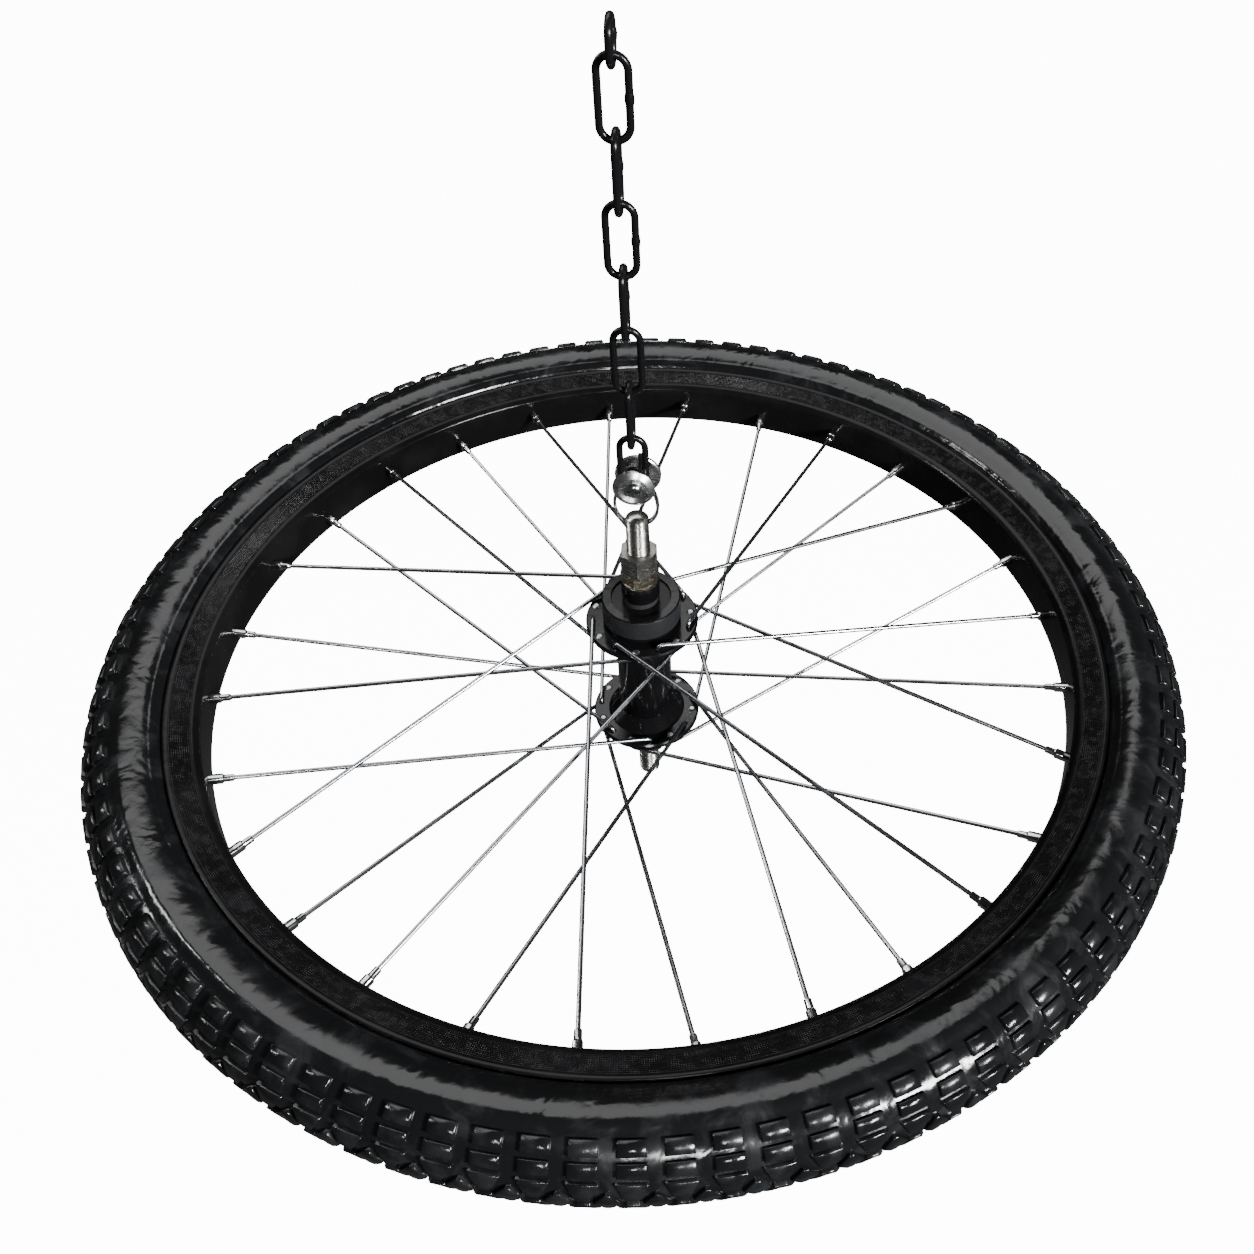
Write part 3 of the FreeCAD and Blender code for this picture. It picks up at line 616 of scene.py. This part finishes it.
class SWING_OT_tread(bpy.types.Operator):
    """Build the tread blocks: shoulder knobs, bricks, shields and diamonds"""
    bl_idname = "swing.tread"
    bl_label = "Tread blocks"

    def execute(self, context):
        tyre = context.scene.swing_tyre
        turn = np.arange(tyre.block_count) * TURN / tyre.block_count
        half_pitch = TURN / tyre.block_count / 2
        kinds = [(turn + half_pitch, 0.0, 0.62, 15.0, diamond)]
        for way, shield in ((1, upper_shield), (-1, lower_shield)):
            kinds.append((turn, way * 62.0, 0.66, 8.2, square_block))
            kinds.append((turn, way * 41.5, 0.66, 7.4, square_block))
            kinds.append((turn, way * 17.0, 0.74, 11.5, shield))
        patches = []
        for around, rise, width, tall, taper in kinds:
            patches.append(tread_block(around, math.radians(rise), half_pitch * width,
                                       math.radians(tall), tyre, taper))
        patches = np.concatenate(patches)
        faces = tread_faces(len(patches), 7)
        tread = add_object("tread_blocks", patches.reshape(-1, 3), faces, smooth_angle=75)
        finish_piece(tread, "wheel", "tyre_rubber", tread_rubber(tyre.rubber))
        return {"FINISHED"}


class SWING_OT_rim(bpy.types.Operator):
    """Build the rim with its knurled side walls, and finish its tape"""
    bl_idname = "swing.rim"
    bl_label = "Rim"

    def execute(self, context):
        rim = context.scene.swing_rim
        r0, r1, h0, h1 = rim.inner_radius, rim.outer_radius, rim.inner_half, rim.outer_half
        upper = [(r1, h1 - 0.0022, 0.0004), (r1, h1, 0.0006), (r1 - 0.0014, h1, 0.0005),
                 (r0 + 0.0024, h0 + 0.0002, 0.0006), (r0 + 0.0018, h0 - 0.0001, 0.0003),
                 (r0, h0 - 0.0016, 0.0012)]
        inner = [(r0 + 0.002, h0 - 0.0028, 0.0004), (r0 + 0.0028, h0 - 0.002, 0.0004),
                 (r1 - 0.0046, h1 - 0.0032, 0.0006), (r1 - 0.0014, h1 - 0.0024, 0.0003)]
        lower = [(r, -h, reach) for r, h, reach in reversed(upper)]
        lower_inner = [(r, -h, reach) for r, h, reach in reversed(inner)]
        outline = rounded_outline(upper + lower + lower_inner + inner)
        piece = revolved("rim_shell", outline, 720, smooth_angle=50)
        paint = knurled_paint(rim.paint, rim.knurl_pitch, h0 + 0.0004, h1 - 0.0002)
        finish_piece(piece, "wheel", "rim_paint", paint, "rim")
        finish_nodes(soft_rubber("tape_rubber", context.scene.swing_finish.tape), "rim_tape")
        return {"FINISHED"}


def spoke_lines(spoke, rim, numbers):
    """Head, elbow and rim points of some spokes, each an (n, 3) array.

    Even holes belong to the upper flange. A spoke whose number leaves 2 or 3 over 4 trails and runs
    inside its flange with its head outside; the others lead and run outside it.
    """
    numbers = np.asarray(numbers)
    upper = numbers % 2 == 0
    trailing = numbers % 4 >= 2
    rim_angle = spoke.first_angle + (numbers - spoke.first_number) * TURN / spoke.count
    turn = spoke.crossings * 2 * TURN / spoke.count
    hub_angle = rim_angle + np.where(trailing, turn, -turn)
    flange = np.where(upper, spoke.upper_flange, spoke.lower_flange)
    out = np.where(upper, 1.0, -1.0)
    elbow_height = flange + out * np.where(trailing, -(spoke.flange_half + spoke.inner_run),
                                           spoke.flange_half + spoke.outer_run)
    head_side = out * np.where(trailing, 1.0, -1.0)
    head_height = flange + head_side * (spoke.flange_half - spoke.head_sink)
    hub = np.stack([spoke.circle * np.cos(hub_angle), spoke.circle * np.sin(hub_angle)], axis=1)
    head = np.column_stack([hub, head_height])
    elbow = np.column_stack([hub, elbow_height])
    target = np.column_stack([rim.inner_radius * np.cos(rim_angle),
                              rim.inner_radius * np.sin(rim_angle), out * spoke.stagger])
    return head, elbow, target


def unit(vectors):
    """Rows scaled to length one."""
    return vectors / np.linalg.norm(vectors, axis=1, keepdims=True)


class SWING_OT_spokes(bpy.types.Operator):
    """Build the spokes in their four groups"""
    bl_idname = "swing.spokes"
    bl_label = "Spokes"

    def execute(self, context):
        spoke, rim = context.scene.swing_spokes, context.scene.swing_rim
        wire = worked_metal("spoke_wire", spoke.wire, 0.22, 0.006, 0.000004)
        t = np.linspace(0, 1, 9)[None, :, None]
        run = np.linspace(0, 1, 8)[None, 1:, None]
        bend, thread_cover = 0.0024, 0.0016
        rise = np.array([0.0009, 0.0006, 0.0, -0.00005])[None, :, None]  # rings of the head
        for first, name in ((2, "upper_trailing"), (4, "upper_leading"), (3, "lower_trailing"),
                            (1, "lower_leading")):
            numbers = np.arange(first, spoke.count + 1, 4)
            head, elbow, target = spoke_lines(spoke, rim, numbers)
            along, drop = unit(target - elbow), unit(head - elbow)
            start, leave = elbow + drop * bend, elbow + along * bend
            curve = ((1 - t) ** 2 * start[:, None] + 2 * t * (1 - t) * elbow[:, None]
                     + t ** 2 * leave[:, None])
            end = target - along * (spoke.nipple_stand - thread_cover)
            straight = leave[:, None] + run * (end - leave)[:, None]
            cap = head[:, None] + drop[:, None] * rise
            paths = np.concatenate([cap, curve, straight], axis=1)
            thin, wide = spoke.wire_radius, spoke.head_radius
            radii = np.concatenate([[wide * 0.55, wide, wide, thin], np.full(t.shape[1], thin),
                                    np.full(run.shape[1], thin)])
            across = unit(np.cross(drop, along))
            piece = wires(name + "_wire", paths, radii, across, 14, smooth_angle=50)
            finish_piece(piece, "wheel", "spoke_steel", wire, name + "_spokes")
        return {"FINISHED"}


class SWING_OT_nipples(bpy.types.Operator):
    """Build the nipples in two groups"""
    bl_idname = "swing.nipples"
    bl_label = "Nipples"

    def execute(self, context):
        spoke, rim = context.scene.swing_spokes, context.scene.swing_rim
        plate = worked_metal("nipple_plate", spoke.plate, 0.17, 0.004, 0.000004)
        places = np.array([0.0, 0.0003, 0.0036, 0.0042, 0.0046, 0.0105, 0.0118,
                           0.0124, 0.0138, 0.0141])
        barrel = spoke.nipple_radius * np.array([0.625, 0.775, 0.81, 0.85, 1, 1, 1])
        radii = np.concatenate([barrel, spoke.nipple_head - np.array([0, 0, 0.0004])])
        square = [2, 2, 2, 2, 3.6, 3.6, 2, 2, 2, 2]
        for first, name in ((2, "upper"), (1, "lower")):
            numbers = np.arange(first, spoke.count + 1, 2)
            head, elbow, target = spoke_lines(spoke, rim, numbers)
            along = unit(target - elbow)
            across = unit(np.cross(head - elbow, along))
            foot = target - along * spoke.nipple_stand
            paths = foot[:, None] + along[:, None] * places[None, :, None]
            piece = wires(name + "_nipple_set", paths, radii, across, 20, square, 40)
            finish_piece(piece, "wheel", "nipple_plate", plate, name + "_nipples")
        return {"FINISHED"}


def axle_surface(axle):
    """Grid of the axle: r = R - d (1 + cos(2 pi h / p - a)) / 2 on the bare threads, chamfered ends."""
    low = AXLE_LOW.z - WHEEL_CENTRE.z
    high = AXLE_HIGH.z - WHEEL_CENTRE.z
    fine = axle.pitch / 8
    heights = np.concatenate([np.arange(low, axle.lower_thread, fine),
                              np.linspace(axle.lower_thread, axle.upper_thread, 9),
                              np.arange(axle.upper_thread + fine, high, fine), [high]])
    turn = np.linspace(0, TURN, 56, endpoint=False)
    h, a = np.meshgrid(heights, turn, indexing="ij")
    threaded = (h < axle.lower_thread) | (h > axle.upper_thread)
    groove = axle.depth * (0.5 + 0.5 * np.cos(TURN * h / axle.pitch - a))
    radius = axle.radius - np.where(threaded, groove, 0)
    end = np.minimum(h - low, high - h)
    limit = axle.radius - axle.chamfer * (1 - np.clip(end / axle.chamfer, 0, 1)) ** 1.5
    radius = np.minimum(radius, limit)
    return np.stack([radius * np.cos(a), radius * np.sin(a), h], axis=-1)


class SWING_OT_axle(bpy.types.Operator):
    """Build the threaded axle with its cross hole"""
    bl_idname = "swing.axle"
    bl_label = "Axle"

    def execute(self, context):
        axle, finish = context.scene.swing_axle, context.scene.swing_finish
        surface = axle_surface(axle)
        rows, columns = surface.shape[:2]
        quads = grid_faces(rows, columns, False, True, True).tolist()
        bottom = list(range(columns))[::-1]
        top = [(rows - 1) * columns + i for i in range(columns)]
        middle = (AXLE_LOW + AXLE_HIGH) / 2
        centre = (middle.x, middle.y, WHEEL_CENTRE.z)
        piece = add_object("threaded_axle", surface.reshape(-1, 3), quads + [bottom, top],
                           centre=centre)
        hole_height = AXLE_HIGH.z - axle.hole_depth - WHEEL_CENTRE.z
        half = np.array([-2, -1.2, 1.2, 2]) * axle.radius
        path = np.stack([half, 0 * half, hole_height + 0 * half], axis=1)[None]
        cutter = wires("cutter", path, np.full(4, axle.hole_radius), np.array([[0.0, 1.0, 0.0]]), 32)
        cut = piece.modifiers.new("cross hole", "BOOLEAN")
        cut.object = cutter
        cut.solver = "EXACT"
        graph = context.evaluated_depsgraph_get()
        drilled = bpy.data.meshes.new_from_object(piece.evaluated_get(graph))
        piece.modifiers.clear()
        piece.data = drilled
        bpy.data.objects.remove(cutter)
        drilled.polygons.foreach_set("use_smooth", np.ones(len(drilled.polygons), dtype=bool))
        drilled.set_sharp_from_angle(angle=math.radians(55))
        steel = worked_metal("axle_thread", finish.steel, 0.22, 0.0004, 0.00003)
        finish_piece(piece, "axle_set", "axle_steel", steel, "axle")
        dark = gloss_paint("black_oxide_cone", finish.oxide, 0.002, 0.00005, 0.35)
        finish_nodes(worked_metal("tall_nut_steel", finish.nut, 0.27, 0.0006, 0.00003),
                     "tall_nut", "key_washer", "lower_spacer")
        finish_nodes(worked_metal("locknut_zinc", finish.locknut, 0.24, 0.0006, 0.00003),
                     "upper_locknut", "lower_locknut")
        finish_nodes(gloss_paint("spacer_black", finish.enamel, 0.003, 0.00006, 0.14), "upper_spacer")
        finish_nodes(dark, "upper_cone", "lower_cone")
        return {"FINISHED"}


class SWING_OT_chain(bpy.types.Operator):
    """Finish the chain's links"""
    bl_idname = "swing.chain"
    bl_label = "Chain"

    def execute(self, context):
        tone = context.scene.swing_finish.chain
        paint = gloss_paint("chain_paint", tone, 0.0035, 0.0004, 0.2)
        finish_nodes(paint, "end_link", *["chain_link_%d" % (i + 1) for i in range(LINKS)])
        return {"FINISHED"}


class SWING_OT_connector(bpy.types.Operator):
    """Finish the bolt, washers, disc, nut and split ring"""
    bl_idname = "swing.connector"
    bl_label = "Connector and split ring"

    def execute(self, context):
        finish = context.scene.swing_finish
        zinc = worked_metal("zinc_plate", finish.zinc, 0.26, 0.0012, 0.00001)
        finish_nodes(zinc, "front_cup_washer", "rear_disc", "connector_nut")
        finish_nodes(worked_metal("bolt_head", finish.zinc, 0.14, 0.0009, 0.00003), "connector_bolt")
        oxide = gloss_paint("tab_oxide", finish.tab, 0.002, 0.00005, 0.4)
        finish_nodes(oxide, "tab_washer")
        bright = worked_metal("ring_plate", finish.ring, 0.14, 0.003, 0.000004)
        finish_nodes(bright, "split_ring")
        return {"FINISHED"}


class SWING_OT_hub(bpy.types.Operator):
    """Finish the hub shell and its bearings"""
    bl_idname = "swing.hub"
    bl_label = "Hub and bearings"

    def execute(self, context):
        finish = context.scene.swing_finish
        collar_low, collar_high, collar_radius = 0.0305, 0.0406, 0.01745
        enamel = hub_enamel(finish.enamel, finish.collar, collar_low, collar_high, collar_radius)
        finish_nodes(enamel, "hub_shell")
        finish_nodes(gloss_paint("cap_black", finish.enamel, 0.003, 0.00006, 0.2),
                     "upper_dust_cap", "lower_dust_cap")
        race = worked_metal("bearing_steel", finish.bearing, 0.12, 0.0005, 0.00001)
        finish_nodes(race, "upper_bearing_cup", "lower_bearing_cup", "upper_balls", "lower_balls")
        finish_nodes(worked_metal("cage_steel", finish.bearing, 0.3, 0.0008, 0.00003),
                     "upper_ball_cage", "lower_ball_cage")
        return {"FINISHED"}


# ---- stage ------------------------------------------------------------------------------------

# name, place from the wheel's centre, width and height, power in watts
LAMPS = (
    ("overhead", (-0.5, 0.9, 1.9), (1.9, 1.1), 24.0),
    ("window_right", (1.33, -1.2, 0.89), (0.5, 0.26), 120.0),
    ("strip_left", (-1.5, 0.1, 1.2), (0.08, 0.6), 9.0),
    ("front", (0.25, -1.7, 1.2), (0.3, 0.14), 20.0),
)


def area_light(name, offset, size, power):
    """Rectangular lamp at an offset from the wheel's centre, turned towards it."""
    lamp = bpy.data.lights.new(name, "AREA")
    lamp.shape = "RECTANGLE"
    lamp.size, lamp.size_y = size
    lamp.energy = power
    thing = bpy.data.objects.new(name, lamp)
    thing.location = WHEEL_CENTRE + Vector(offset)
    thing.rotation_euler = (-Vector(offset)).to_track_quat("-Z", "Y").to_euler()
    bpy.context.scene.collection.objects.link(thing)


def backdrop_outline(radius):
    """Open outline of a round studio: floor, rounded foot, wall and closed ceiling."""
    bend = np.linspace(0, math.pi / 2, 12)
    foot = np.stack([radius * 0.7 + radius * 0.3 * np.sin(bend),
                     radius * 0.3 * (1 - np.cos(bend))], axis=1)
    roof = np.stack([radius * np.cos(bend), radius * (0.9 + 0.8 * np.sin(bend))], axis=1)
    return np.concatenate([[(0.002, 0.0)], foot, roof[:-1], [(0.002, radius * 1.7)]])


class SWING_OT_stage(bpy.types.Operator):
    """Build the pale studio, its lamps and the camera"""
    bl_idname = "swing.stage"
    bl_label = "Stage"

    def execute(self, context):
        stage = context.scene.swing_stage
        outline = backdrop_outline(stage.backdrop_radius)
        turn = np.linspace(0, TURN, 96, endpoint=False)[:, None]
        points = np.stack([outline[:, 0] * np.cos(turn), outline[:, 0] * np.sin(turn),
                           outline[:, 1] + 0 * turn], axis=-1)
        faces = grid_faces(96, len(outline), True, False, True)
        foot = Vector((WHEEL_CENTRE.x, WHEEL_CENTRE.y, WHEEL_CENTRE.z - 1.6))
        studio = add_object("studio_backdrop", points.reshape(-1, 3), faces, centre=foot)
        pale = bpy.data.materials.new("backdrop_white")
        pale.use_nodes = True
        feed(pale.node_tree.nodes["Principled BSDF"], Base_Color=(0.9, 0.9, 0.9), Roughness=0.9,
             Emission_Color=(1.0, 1.0, 1.0), Emission_Strength=stage.backdrop_glow)
        studio.data.materials.append(pale)
        studio.visible_diffuse = False
        studio.visible_glossy = False
        studio.visible_shadow = False

        world = bpy.data.worlds.new("studio")
        world.use_nodes = True
        tree = world.node_tree
        sky = tree.nodes["Background"]
        way = Signal(tree, tree.nodes.new("ShaderNodeTexCoord").outputs["Generated"])
        up = way.make("ShaderNodeSeparateXYZ", {}, output=2, Vector=way)
        glow = up.make("ShaderNodeMapRange", {}, Value=up, From_Min=-1.0, From_Max=1.0,
                       To_Min=stage.glow_below, To_Max=stage.glow_above)
        tree.links.new(glow.socket, sky.inputs["Strength"])
        context.scene.world = world

        for lamp in LAMPS:
            area_light(*lamp)

        lens = bpy.data.cameras.new("camera")
        lens.lens = stage.lens
        lens.sensor_width = 36.0
        lens.shift_x = stage.shift
        lens.clip_start = 0.01
        eye = bpy.data.objects.new("camera", lens)
        eye.location = WHEEL_CENTRE + Vector(stage.camera_place)
        eye.rotation_euler = Euler(stage.camera_turn)
        context.scene.collection.objects.link(eye)
        context.scene.camera = eye
        return {"FINISHED"}


# ---- panel and registration ---------------------------------------------------------------------

STEPS = (SWING_OT_tyre, SWING_OT_tread, SWING_OT_rim, SWING_OT_spokes, SWING_OT_nipples, SWING_OT_axle,
         SWING_OT_chain, SWING_OT_connector, SWING_OT_hub, SWING_OT_stage)


class SWING_PT_panel(bpy.types.Panel):
    """Sidebar panel with the settings and one button for each group of pieces"""
    bl_idname = "SWING_PT_panel"
    bl_label = "Wheel Swing"
    bl_space_type = "VIEW_3D"
    bl_region_type = "UI"
    bl_category = "Wheel Swing"

    def draw(self, context):
        for name, group in SETTINGS.items():
            box = self.layout.box()
            box.label(text=group.__doc__)
            for key in group.__annotations__:
                box.prop(getattr(context.scene, name), key)
        for step in STEPS:
            self.layout.operator(step.bl_idname)


def register():
    """Register the settings, operators and panel."""
    for name, group in SETTINGS.items():
        bpy.utils.register_class(group)
        setattr(bpy.types.Scene, name, PointerProperty(type=group))
    for step in STEPS:
        bpy.utils.register_class(step)
    bpy.utils.register_class(SWING_PT_panel)


def unregister():
    """Take everything back out."""
    bpy.utils.unregister_class(SWING_PT_panel)
    for step in reversed(STEPS):
        bpy.utils.unregister_class(step)
    for name, group in SETTINGS.items():
        delattr(bpy.types.Scene, name)
        bpy.utils.unregister_class(group)


def main():
    """Register everything, then build every piece in order."""
    register()
    for step in STEPS:
        group, name = step.bl_idname.split(".")
        getattr(getattr(bpy.ops, group), name)()


if __name__ == "__main__":
    main()
